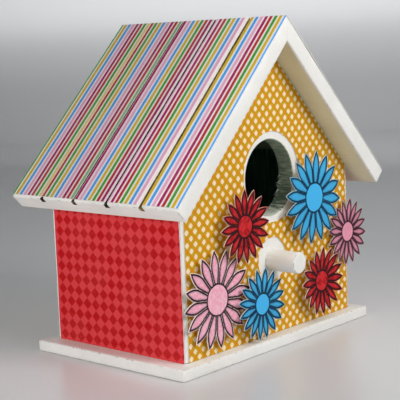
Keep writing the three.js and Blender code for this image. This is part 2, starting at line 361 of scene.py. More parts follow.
def stripe_paper():
    """Six stripes that repeat across the sheet. The print attribute holds the count of stripes, how far
    painted shade darkens the strip, and how much paler its print turns near a groove."""
    look = Look("stripe_paper", 0.6)
    run, falloff_shade, rubbed = look.axes(look.attribute("print").outputs["Vector"])
    waver = look.wander(look.grain(2, 2.0), 0.08)
    turn = look.math("FRACT", look.math("DIVIDE", look.math("ADD", run, waver), len(STRIPES)))
    made = look.node("ShaderNodeValToRGB", {"Fac": turn})
    inner, outer = STRIPE_LINE / 2 - STRIPE_SOFTNESS, STRIPE_LINE / 2 + STRIPE_SOFTNESS
    stops = []
    for i, line in enumerate(STRIPES):
        after = STRIPES[(i + 1) % len(STRIPES)]
        gap = mixed(STRIPE_GROUND, mixed(line, after, 0.5), 0.2)
        middle = i + 0.5
        stops += [(middle - inner, line), (middle + inner, line)]
        stops += [(middle + outer, gap), (middle + 1 - outer, gap)]
    last_gap = stops[-1][1]
    stops = [(position, colour) for position, colour in stops if position < len(STRIPES)]
    stops = [(0, last_gap), (0.5 - outer, last_gap), *stops]
    ramp = made.color_ramp
    while len(ramp.elements) < len(stops):
        ramp.elements.new(1.0)
    for element, (position, colour) in zip(ramp.elements, stops):
        element.position = position / len(STRIPES)
        element.color = colour
    patches = look.math("MULTIPLY", rubbed, look.span(look.grain(1.2, 4.0), 0.4, 1.3))
    clean_print = look.blend(patches, made.outputs["Color"], STRIPE_GROUND)
    # Painted shade: each strip's print is darkened towards grey by its share
    return as_print(look, look.blend(falloff_shade, clean_print, FALLOFF_SHADE))


Inks = namedtuple("Inks", "petal disc flecks margin line")
INK_SOFTNESS = 0.06  # half the width over which one ink turns to the next
EDGE_SHADE = 0.35  # the share of the line's ink that runs into a petal's edge
EDGE_WIDTH = 0.9  # how far it runs


def flower_card(name, inks, disc_radius):
    """Printed card cut out as a flower. The print attribute holds the distances outside a petal's fill and
    from the flower's centre. A petal's or disc's ink is a colour, or a call that makes one."""
    look = Look(name, 0.6)
    outside, radius, _ = look.axes(look.attribute("print").outputs["Vector"])
    rough = look.wander(look.grain(0.8, 3.0), 0.3)
    outside = look.math("ADD", outside, rough)
    beyond_disc = look.math("SUBTRACT", look.math("ADD", radius, rough), disc_radius)
    mottle = look.span(look.step(look.grain(1.3, 5.0), 0.42, 0.64), 0, 0.5)
    flat_inks = [ink(look) if callable(ink) else ink for ink in (inks.petal, inks.disc)]
    petal, disc = [look.blend(mottle, ink, inks.flecks) for ink in flat_inks]
    petal = look.blend(look.span(look.step(outside, -EDGE_WIDTH, 0), 0, EDGE_SHADE), petal, inks.line)
    petals = look.blend(look.past(outside, 0), petal, inks.line)
    petals = look.blend(look.past(outside, INK_LINE), petals, inks.margin)
    ringed = look.blend(look.past(beyond_disc, INK_LINE), inks.line, petals)
    colour = look.blend(look.past(beyond_disc, 0), disc, ringed)
    return as_print(look, colour, fade=inks.flecks)


def red_from_paper(look):
    """The red flowers are cut from the same diamond paper as the side walls."""
    return diamonds(look, look.axes()[0], srgb(202, 34, 42), srgb(164, 2, 14))


def card_back():
    """The unprinted back and cut edge of the card."""
    look = Look("card_back", 0.8)
    fibre = look.grain(0.6, 4.0)
    look.set(look.shader, {"Base Color": look.blend(fibre, srgb(238, 234, 228), srgb(222, 216, 208))})
    look.bump(fibre, 0.03)
    return look.material


def foam_look():
    look = Look("foam", 0.9)
    cells = look.node("ShaderNodeTexVoronoi", {"Vector": look.stretched(0.35), "Scale": 1.0})
    size = cells.outputs["Distance"]
    look.set(look.shader, {"Base Color": look.blend(size, srgb(246, 246, 243), srgb(214, 214, 210))})
    look.bump(size, 0.15)
    return look.material


def steel_look():
    look = Look("brad_steel", 0.35, Metallic=1.0)
    drawn = look.grain(0.4, 4.0)
    colour = look.blend(drawn, srgb(196, 198, 202), srgb(150, 152, 156))
    look.surface(colour, look.span(drawn, 0.25, 0.5))
    look.bump(drawn, 0.02)
    return look.material


# ---- building meshes ----


class Form:
    """The points and faces of one piece, in millimetres of the frame, with each point's wear and print."""

    def __init__(self):
        self.points = []
        self.wear = []
        self.print = []
        self.faces = []
        self.slots = []

    def point(self, place, wear=0.0, printed=(0, 0, 0)):
        self.points.append(Vector(place))
        self.wear.append(wear)
        self.print.append(printed)
        return len(self.points) - 1

    def ring(self, places, wear=0.0):
        return [self.point(place, wear) for place in places]

    def face(self, corners, slot=0):
        self.faces.append(tuple(corners))
        self.slots.append(slot)

    def tube(self, rings, slots=None):
        """Quads between each ring and the next, with a material for each place in a ring."""
        for one, other in zip(rings, rings[1:]):
            for i, slot in enumerate(slots or [0] * len(one)):
                j = (i + 1) % len(one)
                self.face((one[i], one[j], other[j], other[i]), slot)

    def close(self, rings):
        """Caps a tube's first and last rings."""
        self.cap([rings[0]])
        self.cap([rings[-1]])

    def cap(self, rings, slot=0):
        """Flat triangles inside the first ring and outside the others."""
        order = [i for ring in rings for i in ring]
        for triangle in tessellate_polygon([[self.points[i] for i in ring] for ring in rings]):
            self.face([order[i] for i in triangle], slot)

    def mesh(self, name, materials, sharp=35):
        """The finished mesh, smooth where it turns by less than sharp degrees."""
        mesh = bpy.data.meshes.new(name)
        mesh.from_pydata([place * MM for place in self.points], [], self.faces)
        for material in materials:
            mesh.materials.append(material)
        mesh.polygons.foreach_set("material_index", self.slots)
        mesh.attributes.new("wear", "FLOAT", "POINT").data.foreach_set("value", self.wear)
        values = [value for printed in self.print for value in printed]
        mesh.attributes.new("print", "FLOAT_VECTOR", "POINT").data.foreach_set("vector", values)
        clean(mesh)
        mesh.shade_smooth()
        mesh.set_sharp_from_angle(angle=math.radians(sharp))
        return mesh

    def piece(self, node, materials, kind="wood", slot="white_painted_wood", **options):
        """The finished object, riding on the root body in place of a CAD node."""
        name = f"{node}_{kind}"
        made = placed(name, self.mesh(name, materials, **options))
        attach(made, "root")
        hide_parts(node)
        return made


def clean(mesh):
    """Joins points that coincide, drops faces left with no area, and turns every face outward."""
    work = bmesh.new()
    work.from_mesh(mesh)
    bmesh.ops.remove_doubles(work, verts=work.verts, dist=ONE_POINT)
    bmesh.ops.dissolve_degenerate(work, dist=NO_LENGTH, edges=work.edges)
    bmesh.ops.recalc_face_normals(work, faces=work.faces)
    work.to_mesh(mesh)
    work.free()


def upright(u, v, w):
    """Across, up and depth of a board that stands in the XZ plane."""
    return Vector((u, w, v))


def flat(u, v, w):
    """The same for a board that lies in the XY plane."""
    return Vector((u, v, w))


def facing_side(u, v, w):
    """The same for a sheet that stands in the YZ plane."""
    return Vector((w, u, v))


def arc(centre, radius, first, last, steps):
    """Points on an arc from one angle to another, in degrees."""
    angles = [math.radians(first + (last - first) * i / steps) for i in range(steps + 1)]
    return [Vector((centre[0] + radius * math.cos(a), centre[1] + radius * math.sin(a))) for a in angles]


def circle(centre, radius, count, waver=0.0):
    """A hole's outline, clockwise, wandering by up to waver as a hand-cut one does."""
    points = []
    for i in range(count):
        angle = -2 * math.pi * i / count
        ray = Vector((math.cos(angle), math.sin(angle)))
        points.append(Vector(centre) + ray * (radius + waver * uneven(*ray * 2.5, radius)))
    return points


CORNER_STEPS = 4


def outline(corners, radius, spacing=5.0, waver=0.0):
    """A closed outline, anticlockwise, with rounded corners and with straight runs that wander."""
    corners = [Vector(corner) for corner in corners]
    arcs = []
    for i, corner in enumerate(corners):
        into = (corner - corners[i - 1]).normalized()
        out = (corners[(i + 1) % len(corners)] - corner).normalized()
        start = corner - into * radius * math.tan(into.angle(out) / 2)
        centre = start + Vector((-into.y, into.x)) * radius
        first = math.degrees(math.atan2(-into.x, into.y))
        arcs.append(arc(centre, radius, first, first + math.degrees(into.angle(out)), CORNER_STEPS))
    points = []
    for i, bend in enumerate(arcs):
        start, end = bend[-1], arcs[(i + 1) % len(arcs)][0]
        count = max(1, round((end - start).length / spacing))
        points += bend + [start.lerp(end, k / count) for k in range(1, count)]
    wander = [noise.noise_vector(Vector((point.x, point.y, radius)) / 14) * waver for point in points]
    return [point + Vector((move.x, move.y)) for point, move in zip(points, wander)]


def inward(points):
    """At each point of a closed outline, the direction into its left."""
    directions = []
    for i in range(len(points)):
        along = (points[(i + 1) % len(points)] - points[i - 1]).normalized()
        directions.append(Vector((-along.y, along.x)))
    return directions


def rounded(size, steps):
    """A rounded edge as (inset, depth, wear), from the end of a flat face to the start of the side."""
    turns = [QUARTER * k / steps for k in range(steps + 1)]
    return [(size * (1 - math.sin(a)), size * (1 - math.cos(a)), math.sin(2 * a)) for a in turns]


Hole = namedtuple("Hole", "points rounding slot tear", defaults=(0.0,))


def board(form, edge, holes, near, far, rounding, lay=upright, slots=(0, 0, 0), steps=3):
    """A flat board from w = near to w = far, its edges rounded at both faces. slots are the materials of its
    near face, its edge and its far face. The inside of a hole is torn by up to the hole's tear."""
    near_rings, far_rings = [], []
    for hole in [Hole(edge, rounding, slots[1]), *holes]:
        size = hole.rounding
        bend = rounded(size, steps)
        bend.insert(0, (1.5 * size, 0.0, 0.0))  # keeps the rounding's shading off the flat face
        path = [(inset, near + depth, wear) for inset, depth, wear in bend]
        cuts = 8 if hole.tear else 1
        path += [(0.0, near + size + (far - near - 2 * size) * k / cuts, 0.0) for k in range(1, cuts)]
        path += [(inset, far - depth, wear) for inset, depth, wear in reversed(bend)]
        directions = inward(hole.points)
        rings = []
        for inset, depth, wear in path:
            torn = hole.tear * math.sin(math.pi * (depth - near) / (far - near))
            places = []
            for point, direction in zip(hole.points, directions):
                ragged = torn * uneven(point.x * 0.8, point.y * 0.8, depth * 0.3)
                places.append(lay(*(point + direction * (inset + ragged)), depth))
            rings.append(form.ring(places, wear))
        count = len(hole.points)
        form.tube(rings[:2], [slots[0]] * count)
        form.tube(rings[-2:], [slots[2]] * count)
        form.tube(rings[1:-1], [hole.slot] * count)
        near_rings.append(rings[0])
        far_rings.append(rings[-1])
    form.cap(near_rings, slots[0])
    form.cap(far_rings, slots[2])


# ---- the pieces ----


WOOD_ROUNDING = 0.55
BASE_ROUNDING = 0.8
WOOD_CORNER = 0.9
WOOD_WAVER = 0.16
ENTRANCE_ROUNDING = 0.4
ENTRANCE_TEAR = 0.25
TORN_FIBRES = 11
PERCH_CLEARANCE = 0.02
PERCH_HOLE_ROUNDING = 0.1
PERCH_ROUNDING = 0.6


def base_board(paint, bare):
    low, high = box("base_board")
    form = Form()
    corners = [(low.x, low.y), (high.x, low.y), (high.x, high.y), (low.x, high.y)]
    holes = []
    for side in ("left", "right"):
        for end in ("front", "back"):
            brad_low, brad_high = box(f"brad_base_{side}_{end}")
            middle = (brad_low + brad_high) / 2
            holes.append(Hole(circle((middle.x, middle.y), BRAD_HOLE_RADIUS, 24), BRAD_HOLE_ROUNDING, 1))
    edge = outline(corners, WOOD_CORNER, waver=WOOD_WAVER)
    board(form, edge, holes, low.z, high.z, BASE_ROUNDING, lay=flat)
    form.piece("base_board", [paint, bare])


def gable_corners(low, high):
    """The corners of a gable wall or its paper, which fills that box under the pitch of the roof."""
    left_shoulder = high.z + low.x * math.tan(ROOF_PITCH)
    right_shoulder = high.z - high.x * math.tan(ROOF_PITCH)
    return [(low.x, low.z), (high.x, low.z), (high.x, right_shoulder), (0, high.z), (low.x, left_shoulder)]


def gable_wall(name, holes, slots):
    """The form of a gable wall."""
    low, high = box(name)
    edge = outline(gable_corners(low, high), WOOD_CORNER, waver=WOOD_WAVER)
    form = Form()
    board(form, edge, holes, low.y, high.y, WOOD_ROUNDING, slots=slots)
    return form


def torn_fibres(form):
    """Slivers that the saw left standing on the right of the entrance's inner edge."""
    far = box("front_wall")[1].y
    for number in range(TORN_FIBRES):
        turn = math.radians(-4 - 30 * number / TORN_FIBRES + 12 * uneven(number, 0.3, 0.7))
        length = max(0.6, 2.0 + 3.6 * uneven(number * 1.7, 4.1, 0))
        depth = far - 1.2 + 2.2 * uneven(number * 2.3, 0, 8.7)
        start = Vector(ENTRANCE) + Vector((math.cos(turn), math.sin(turn))) * (ENTRANCE_RADIUS + 0.2)
        rings = []
        for k in range(5):
            share = k / 4
            middle = start + Vector((-length * share, 0.5 * math.sin(3 * share + number) - 0.3 * share))
            thick = 0.17 * (1 - 0.85 * share)
            square = [(thick, 0), (0, thick), (-thick, 0), (0, -thick)]
            places = [upright(middle.x, middle.y + rise, depth + across) for rise, across in square]
            rings.append(form.ring(places))
        form.tube(rings)
        form.face(rings[0])
        form.face(rings[-1])


def front_wall(paint, bore):
    perch_low, perch_high = box("perch_dowel")
    perch_middle = (perch_low + perch_high) / 2
    hole_radius = (perch_high.x - perch_low.x) / 2 + PERCH_CLEARANCE
    holes = [
        Hole(circle(ENTRANCE, ENTRANCE_RADIUS, 120), ENTRANCE_ROUNDING, 1, ENTRANCE_TEAR),
        Hole(circle((perch_middle.x, perch_middle.z), hole_radius, 48), PERCH_HOLE_ROUNDING, 1),
    ]
    form = gable_wall("front_wall", holes, (0, 0, 1))
    torn_fibres(form)
    form.piece("front_wall", [paint, bore])


def back_wall(paint, bare):
    form = gable_wall("back_wall", [], (1, 0, 0))
    form.piece("back_wall", [paint, bare])


def side_wall(name, side, bare):
    """A wall between the gable walls, its top bevelled to the roof, left bare because paper covers it."""
    low, high = box(name)
    outer, inner = (low.x, high.x) if side < 0 else (high.x, low.x)
    drop = (high.x - low.x) * math.tan(ROOF_PITCH)
    corners = [(outer, low.z), (inner, low.z), (inner, high.z), (outer, high.z - drop)]
    if side > 0:
        corners.reverse()
    form = Form()
    board(form, outline(corners, 0.3), [], low.y, high.y, 0.15)
    form.piece(name, [bare])


def perch(paint):
    low, high = box("perch_dowel")
    middle = (low + high) / 2
    radius = (high.x - low.x) / 2
    count, lengths = 64, 10
    ends = [(inset, radius - depth, wear) for inset, depth, wear in rounded(PERCH_ROUNDING, 4)]
    path = [(low.y + depth, size, wear) for depth, size, wear in reversed(ends)]
    straight = high.y - low.y - 2 * PERCH_ROUNDING
    path += [(low.y + PERCH_ROUNDING + straight * k / lengths, radius, 0.0) for k in range(1, lengths)]
    path += [(high.y - depth, size, 0.0) for depth, size, _ in ends]
    form = Form()
    rings = []
    for depth, size, wear in path:
        places = []
        for i in range(count):
            ray = Vector((math.cos(2 * math.pi * i / count), math.sin(2 * math.pi * i / count)))
            swell = uneven(ray.x * 1.5, ray.y * 1.5, depth / 9) * 0.05
            reach = size + swell
            places.append(upright(middle.x + ray.x * reach, middle.z + ray.y * reach, depth))
        rings.append(form.ring(places, wear))
    form.tube(rings)
    form.close(rings)
    form.piece("perch_dowel", [paint])


# ---- roof ----


class Slope:
    """One side of the roof. Its axes are run, down from the ridge, the frame's y, and rise, out of
    the soffit."""

    def __init__(self, name, side):
        self.name = name
        low, high = box(f"roof_board_{name}")
        self.front, self.back = low.y, high.y
        ridge = high.z - (2 * ROOF_BOARD - GLUE) * math.sin(ROOF_PITCH)
        turn = Matrix.Rotation(side * ROOF_PITCH, 4, "Y")
        self.matrix = Matrix.Translation((0, 0, ridge)) @ turn @ Matrix.Scale(side, 4, (1, 0, 0))
        pitch = (self.back - self.front) / PLANKS
        self.grooves = [self.back - (i + 1) * pitch for i in range(PLANKS - 1)]

    def at(self, run, y, rise):
        return self.matrix @ Vector((run, y, rise))


FOOT_ROUNDING = 0.9
TOP_ROUNDING = 1.2
END_WEAR = 0.8
PAINTED, FRONT_GROOVE, OTHER_GROOVES, SOFFIT = range(4)  # the materials of a roof board; the soffit's paint is tinted yellow as painted bounce light


def roof_section(slope, inset):
    """The outline of a roof board across its planks, as (y, rise), drawn in by inset. It has as many points
    whatever the inset, from the front's foot round by the back to the grooves and the top of the front."""
    foot, top, lip = FOOT_ROUNDING, TOP_ROUNDING, 0.35
    points = arc((slope.front + foot, foot), foot - inset, 180, 270, 4)
    points += arc((slope.back - foot, foot), foot - inset, 270, 360, 4)
    points += arc((slope.back - top, ROOF_BOARD - top), top - inset, 0, 90, 5)
    for middle in slope.grooves:
        half = GROOVE_WIDTH / 2 + inset
        edge, floor = ROOF_BOARD - inset - lip, ROOF_BOARD - GROOVE_DEPTH - inset
        points += arc((middle + half + lip, edge), lip, 90, 180, 3)
        points += [Vector((middle + half, floor)), Vector((middle - half, floor))]
        points += arc((middle - half - lip, edge), lip, 0, 90, 3)
    points += arc((slope.front + top, ROOF_BOARD - top), top - inset, 90, 180, 5)
    return points


def section_slot(slope, point):
    """The material at a point of a roof board's section."""
    if abs(point.y) < 1e-6:
        return SOFFIT
    if 0.1 < point.y < ROOF_BOARD - 0.02:
        for middle in slope.grooves:
            if abs(point.x - middle) < GROOVE_WIDTH:
                return FRONT_GROOVE if middle == min(slope.grooves) else OTHER_GROOVES
    return PAINTED


def roof_board(slope, materials):
    """A scored board, mitred at the ridge and rounded at the eave, with edges and grooves that wander."""
    lengths, rounding, round_steps = 30, 0.7, 4
    flat_end = SOFFIT_LENGTH - rounding
    stations = [(share / lengths, 0.0, 0.0) for share in range(lengths + 1)]
    for k in range(1, round_steps + 1):
        angle = QUARTER * k / round_steps
        stations.append((1.0, rounding * math.sin(angle), rounding * (1 - math.cos(angle))))
    form = Form()
    rings = []
    for share, beyond, inset in stations:
        places = []
        for point in roof_section(slope, inset):
            run = (MITRE_GAP - point.y) * (1 - share) + flat_end * share + beyond
            wander = uneven(run / 16, point.x / 25, slope.matrix[0][0]) * 0.15
            sway = uneven(point.x / 9, 3.7, slope.matrix[0][0]) * 0.15 * share
            places.append(slope.at(run + sway, point.x + wander, point.y))
        rings.append(form.ring(places, math.sin(math.pi * min(1.0, inset / rounding))))
    section = roof_section(slope, 0)
    at_points = [section_slot(slope, point) for point in section]
    pairs = zip(at_points, at_points[1:] + at_points[:1])
    form.tube(rings, [one if one == other else PAINTED for one, other in pairs])
    form.close(rings)
    for ring in rings[: lengths + 1]:
        for index, point in zip(ring, section):
            at_end = min(point.x - slope.front, slope.back - point.x) < TOP_ROUNDING
            on_foot = 0.05 < point.y < FOOT_ROUNDING - 0.05
            on_top = ROOF_BOARD - TOP_ROUNDING + 0.05 < point.y < ROOF_BOARD - 0.05
            form.wear[index] = END_WEAR if at_end and (on_foot or on_top) else 0.0
    form.piece(f"roof_board_{slope.name}", materials)


# From the back plank to the front one: how far the middle of one green stripe is from the roof's back end,
# and -1 where the strip was pasted on with its pattern the other way round.
STRIP_PRINTS = [(0.4, 1), (23.1, 1), (51.9, -1), (68.0, 1), (93.8, 1)]
STRIP_FALLOFF_SHADE = [0.25, 0.25, 0.18, 0.08, 0.0]  # painted shade: how far each strip's print is darkened, as light falls off towards the back
Groove = namedtuple("Groove", "sink_front sink_back rubbed rub_width")
# How the strips meet at each groove, from the back one: how far the front edge of the strip behind it and
# the back edge of the strip before it sink, and how far and how wide the first one's print turns paler.
GROOVES = [
    Groove(0.3, 0.05, 0.35, 2.2),
    Groove(0.05, 0.3, 0.3, 1.6),
    Groove(0.05, 0.05, 0.0, 1.0),
    Groove(0.3, 0.15, 0.0, 1.0),
]
ROOF_END = Groove(0.35, 0.0, 0.0, 1.0)


def stripe_strip(slope, number, material, back_card):
    """A strip of paper on one plank, its long edges pressed a little down over the lips of the grooves."""
    name = f"stripe_paper_{slope.name}_{number}"
    low, high = box(name)
    start = STRIP_RIDGE_MARGIN - ROOF_BOARD / math.tan(ROOF_PITCH)
    end = SOFFIT_LENGTH - STRIP_EAVE_MARGIN
    at_front = GROOVES[number - 1] if number < PLANKS else ROOF_END
    at_back = GROOVES[number - 2] if number > 1 else ROOF_END
    front, back = low.y, high.y
    lip, count, lengths = 0.8, 24, 26
    heights = []
    for i in range(count + 1):
        y = front + (back - front) * (0.5 - 0.5 * math.cos(math.pi * i / count))
        sunk = at_front.sink_front * max(0.0, 1 - (y - front) / lip) ** 2
        sunk += at_back.sink_back * max(0.0, 1 - (back - y) / lip) ** 2
        rubbed = at_front.rubbed * max(0.0, min(1.0, 2 - 2 * (y - front) / at_front.rub_width))
        heights.append((y, -sunk, rubbed))
    green, way = STRIP_PRINTS[number - 1]
    form = Form()
    rings = []
    for k in range(lengths + 1):
        run = start + (end - start) * k / lengths
        sheet = []
        for y, fall, rubbed in heights:
            edge = (y - (front + back) / 2) / ((back - front) / 2)
            wander = uneven(run / 11, y / 40, number + slope.matrix[0][0]) * 0.14 * edge**2
            lift = 0.03 * uneven(run / 7, y / 5, number)
            crossing = (slope.back - y - green) / STRIPE_PITCH
            printed = (crossing * way + 0.5, STRIP_FALLOFF_SHADE[number - 1], rubbed)
            sheet.append((run, y + wander, ROOF_BOARD + PASTE + fall + max(0, lift), printed))
        ring = []
        for height, places in ((0, sheet), (PAPER, reversed(sheet))):
            for run, y, rise, printed in places:
                ring.append(form.point(slope.at(run, y, rise + height), 0.0, printed))
        rings.append(ring)
    half = count + 1
    form.tube(rings, [0 if half <= i < 2 * half - 1 else 1 for i in range(2 * half)])
    for ring in (rings[0], rings[-1]):
        for i in range(count):
            form.face((ring[i], ring[i + 1], ring[2 * half - 2 - i], ring[2 * half - 1 - i]), 1)
    form.piece(name, [material, back_card], "sheet", "stripe_paper")


# ---- paper on the walls ----


PAPER_EDGE = 0.08
PAPER_CORNER = 0.3
PAPER_WAVER = 0.22


def wall_sheet(name, corners, near, far, materials, slot, lay, holes=()):
    form = Form()
    edge = outline(corners, PAPER_CORNER, waver=PAPER_WAVER)
    cuts = [Hole(points, PAPER_EDGE, 1) for points in holes]
    board(form, edge, cuts, near, far, PAPER_EDGE, lay=lay, slots=(0, 1, 0), steps=1)
    form.piece(name, materials, "sheet", slot)


def gable_sheet(name, materials, holes=()):
    low, high = box(name)
    corners = gable_corners(low, high)
    wall_sheet(name, corners, low.y, high.y, materials, "check_paper", upright, holes)


def side_sheet(name, materials):
    low, high = box(name)
    corners = [(low.y, low.z), (high.y, low.z), (high.y, high.z), (low.y, high.z)]
    wall_sheet(name, corners, low.x, high.x, materials, "diamond_paper", facing_side)


# ---- flowers ----


LENS_ROOT = 0.45  # half a petal's printed width where it leaves the disc
LENS_TAPER = 0.95
LENS_PEAK = 0.259  # the greatest value of share * (1 - share) ** LENS_TAPER


class Petal:
    """The printed and cut shape of one petal, whose axis runs along u from the flower's centre."""

    def __init__(self, radius, disc, gap):
        self.gap = gap
        self.base = disc + INK_LINE / 2
        self.tip = radius - POINT_MARGIN - math.hypot(1, POINT_SLOPE) * INK_LINE / POINT_SLOPE
        self.widest = PETAL_SPREAD * radius * math.tan(HALF_PETAL) - INK_LINE - CARD_MARGIN

    def fill(self, u):
        """Half the printed petal's width at u, going on below 0 past its point."""
        if u >= self.tip:
            return POINT_SLOPE * (self.tip - u)
        touching = u * math.tan(HALF_PETAL) - INK_LINE - self.gap / 2
        share = max(0.0, (u - self.base) / (self.tip - self.base))
        lens = LENS_ROOT * (1 - share) ** 2
        lens += self.widest * share * (1 - share) ** LENS_TAPER / LENS_PEAK
        return max(0.2 * (1 - share), min(touching, lens))

    def slant(self, u):
        """How much longer the fill's edge is than its run along u."""
        rise = (self.fill(u + 0.05) - self.fill(u - 0.05)) / 0.1
        return math.hypot(1, rise)

    def outside(self, u, v):
        """Distance outside the printed fill, negative within it."""
        beside = (abs(v) - self.fill(u)) / self.slant(u)
        return max(beside, self.base - u) if u < self.base else beside

    def cut(self, u):
        """Half the cut card's width at u, before it meets the next petal."""
        return max(0.0, self.fill(u) + (INK_LINE + CARD_MARGIN) * self.slant(u))


def flower_radius(name, turn):
    """From the centre to a petal's point, with one petal turned that many degrees from the X axis."""
    low, high = box(f"flower_{name}")
    step = 360 / PETALS
    nearest = (turn + step / 2) % step - step / 2
    return (high.x - low.x) / 2 / math.cos(math.radians(nearest))


# disc_share is the disc's share of the radius, gap the room between petals, turn one petal's angle from the
# X axis in degrees, and curl the lift of the tips.
Flower = namedtuple("Flower", "name inks slot disc_share gap turn curl")


def flower(plan, material, back_card, seed):
    """A flower of printed card where the CAD flower stands, with each petal bent a little differently."""
    name = f"flower_{plan.name}"
    low, high = box(name)
    centre = (low + high) / 2
    radius = flower_radius(plan.name, plan.turn)
    disc = plan.disc_share * radius
    petal = Petal(radius, disc, plan.gap)
    tangent = math.tan(HALF_PETAL)
    inner = [disc * k / 4 for k in range(5)]
    notch = disc
    while petal.cut(notch) > notch * tangent or notch < petal.base + 1:
        notch += 0.02
    rows = inner + [disc + (notch - disc) * k / 6 for k in range(1, 7)]
    rows += [notch + (radius - notch) * math.sin(QUARTER * k / 16) for k in range(1, 17)]
    columns = [k / 3 for k in range(-3, 4)]
    form = Form()
    grid = []
    for u in rows:
        half = u * tangent if u <= notch + 1e-9 else min(petal.cut(u), u * tangent)
        grid.append([(u, half * column) for column in columns])
    measured = [[petal.outside(u, v) for u, v in row] for row in grid]
    for number in range(PETALS):
        angle = math.radians(plan.turn) + 2 * HALF_PETAL * number
        axis = Vector((math.cos(angle), math.sin(angle)))
        side = Vector((-axis.y, axis.x))
        indices = []
        for row, outsides in zip(grid, measured):
            line = []
            for (u, v), outside in zip(row, outsides):
                spot = axis * u + side * v
                share = spot.length / radius
                ray = spot.normalized() if spot.length > 1e-6 else axis
                bend = uneven(ray.x * 2.6, ray.y * 2.6, seed)
                ripple = 0.05 * uneven(*spot / 4, seed)
                lift = (plan.curl + 0.75 * bend) * share**2.5 + ripple
                spot = spot + spot * 0.02 * uneven(ray.x * 4, ray.y * 4, seed + 9)
                place = (centre.x + spot.x, low.y - lift, centre.z + spot.y)
                line.append(form.point(place, 0.0, (outside, math.hypot(u, v), 0)))
            indices.append(line)
        for one, other in zip(indices, indices[1:]):
            for i in range(len(columns) - 1):
                form.face((one[i], one[i + 1], other[i + 1], other[i]))
    made = form.piece(name, [material, back_card], "card", plan.slot, sharp=60)
    normal = made.data.polygons[0].normal
    if normal.y > 0:
        made.data.flip_normals()
    thick = made.modifiers.new("card", "SOLIDIFY")
    thick.thickness = PAPER * MM
    thick.offset = -1
    thick.material_offset = 1
    thick.material_offset_rim = 1


def foam_pad(name, material):
    """A self-adhesive foam pad, squeezed so that its sides bulge."""
    low, high = box(f"foam_pad_{name}")
    form = Form()
    levels = 7
    corners = [(low.x, low.z), (high.x, low.z), (high.x, high.z), (low.x, high.z)]
    edge = outline(corners, 0.8, spacing=1.2)
    directions = inward(edge)
    rings = []
    for level in range(levels):
        share = level / (levels - 1)
        inset = 0.35 - 0.3 * math.sin(math.pi * share) ** 0.7
        depth = low.y + (high.y - low.y) * share
        places = []
        for point, direction in zip(edge, directions):
            rough = 0.08 * noise.noise(Vector((point.x, point.y, depth)) * 1.3)
            places.append(upright(*(point + direction * (inset + rough)), depth))
        rings.append(form.ring(places))
    form.tube(rings)
    form.close(rings)
    made = form.piece(f"foam_pad_{name}", [material], "block", "foam")


# ---- assembling the house ----


along_x = (24, 0.9, 0.9)
along_y = (0.9, 24, 0.9)
along_z = (0.9, 0.9, 24)

paint_x = painted_wood("white_paint_along_x", along_x)
paint_y = painted_wood("white_paint_along_y", along_y)
paint_z = painted_wood("white_paint_along_z", along_z)
# Painted light: the soffits' paint is tinted yellow for light bounced up from the gingham paper
soffit_bounce_paint = painted_wood("soffit_painted_bounce", along_y, (0.98, 0.98, 0.87))
# Bare wood, its green tint a painted shade colour for the dark seen inside the entrance
green_tinted_bare_wood = raw_wood("bare_wood", along_z, srgb(88, 140, 116), srgb(58, 98, 84), 0.2)
sawn_bore = sawn_bore_look()
kerf = raw_wood("scored_groove", (6, 6, 6), srgb(150, 126, 62), srgb(96, 80, 40), 0.2)
dark_kerf = raw_wood("dark_scored_groove", (6, 6, 6), srgb(84, 66, 50), srgb(40, 32, 26), 0.2)
check = check_paper()
diamond = diamond_paper()
stripes = stripe_paper()
card = card_back()
foam = foam_look()
steel = steel_look()

base_board(paint_x, green_tinted_bare_wood)
front_wall(paint_z, sawn_bore)
back_wall(paint_z, green_tinted_bare_wood)
side_wall("left_wall", -1, green_tinted_bare_wood)
side_wall("right_wall", 1, green_tinted_bare_wood)
perch(paint_y)

for slope in (Slope("left", -1), Slope("right", 1)):
    roof_board(slope, [paint_y, kerf, dark_kerf, soffit_bounce_paint])
    for number in range(1, PLANKS + 1):
        stripe_strip(slope, number, stripes, card)

cut_outs = [
    circle(ENTRANCE_CUT, ENTRANCE_CUT_RADIUS, 120, waver=0.5),
    circle(PERCH_CUT, PERCH_CUT_RADIUS, 72, waver=0.5),
]
gable_sheet("front_paper", [check, card], cut_outs)
gable_sheet("back_paper", [check, card])
side_sheet("left_paper", [diamond, card])
side_sheet("right_paper", [diamond, card])

PINK = Inks(
    petal=srgb(240, 164, 188),
    disc=srgb(242, 168, 190),
    flecks=srgb(248, 214, 220),
    margin=srgb(248, 214, 212),
    line=srgb(22, 8, 18),
)
# A darker copy of PINK for the small flower: painted shade for the shade it sits in, with paler lines
SHADED_PINK = Inks(
    petal=srgb(212, 134, 156),
    disc=srgb(236, 152, 174),
    flecks=srgb(206, 150, 164),
    margin=srgb(184, 136, 144),
    line=srgb(52, 26, 38),
)
BLUE = Inks(
    petal=srgb(62, 168, 220),
    disc=srgb(68, 182, 242),
    flecks=srgb(80, 182, 224),
    margin=srgb(120, 184, 208),
    line=srgb(2, 44, 74),
)
RED = Inks(
    petal=red_from_paper,
    disc=red_from_paper,
    flecks=srgb(214, 56, 54),
    margin=srgb(214, 108, 92),
    line=srgb(34, 0, 8),
)
FLOWERS = [
    Flower("red_upper", RED, "red_flower_card", 0.278, 0.0, 1, 0.5),
    Flower("red_lower", RED, "red_flower_card", 0.278, 0.0, -1.5, 1.1),
    Flower("pink_large", PINK, "pink_flower_card", 0.295, 0.14, 4.5, 0.1),
    Flower("pink_small", SHADED_PINK, "pink_flower_card", 0.278, 0.0, 14.5, 0.1),
    Flower("blue_large", BLUE, "blue_flower_card", 0.295, 0.0, 14.6, -0.3),
    Flower("blue_small", BLUE, "blue_flower_card", 0.278, 0.0, 11.2, 0.0),
]
SEED_STEP = 3.1  # between one flower's seed and the next one's

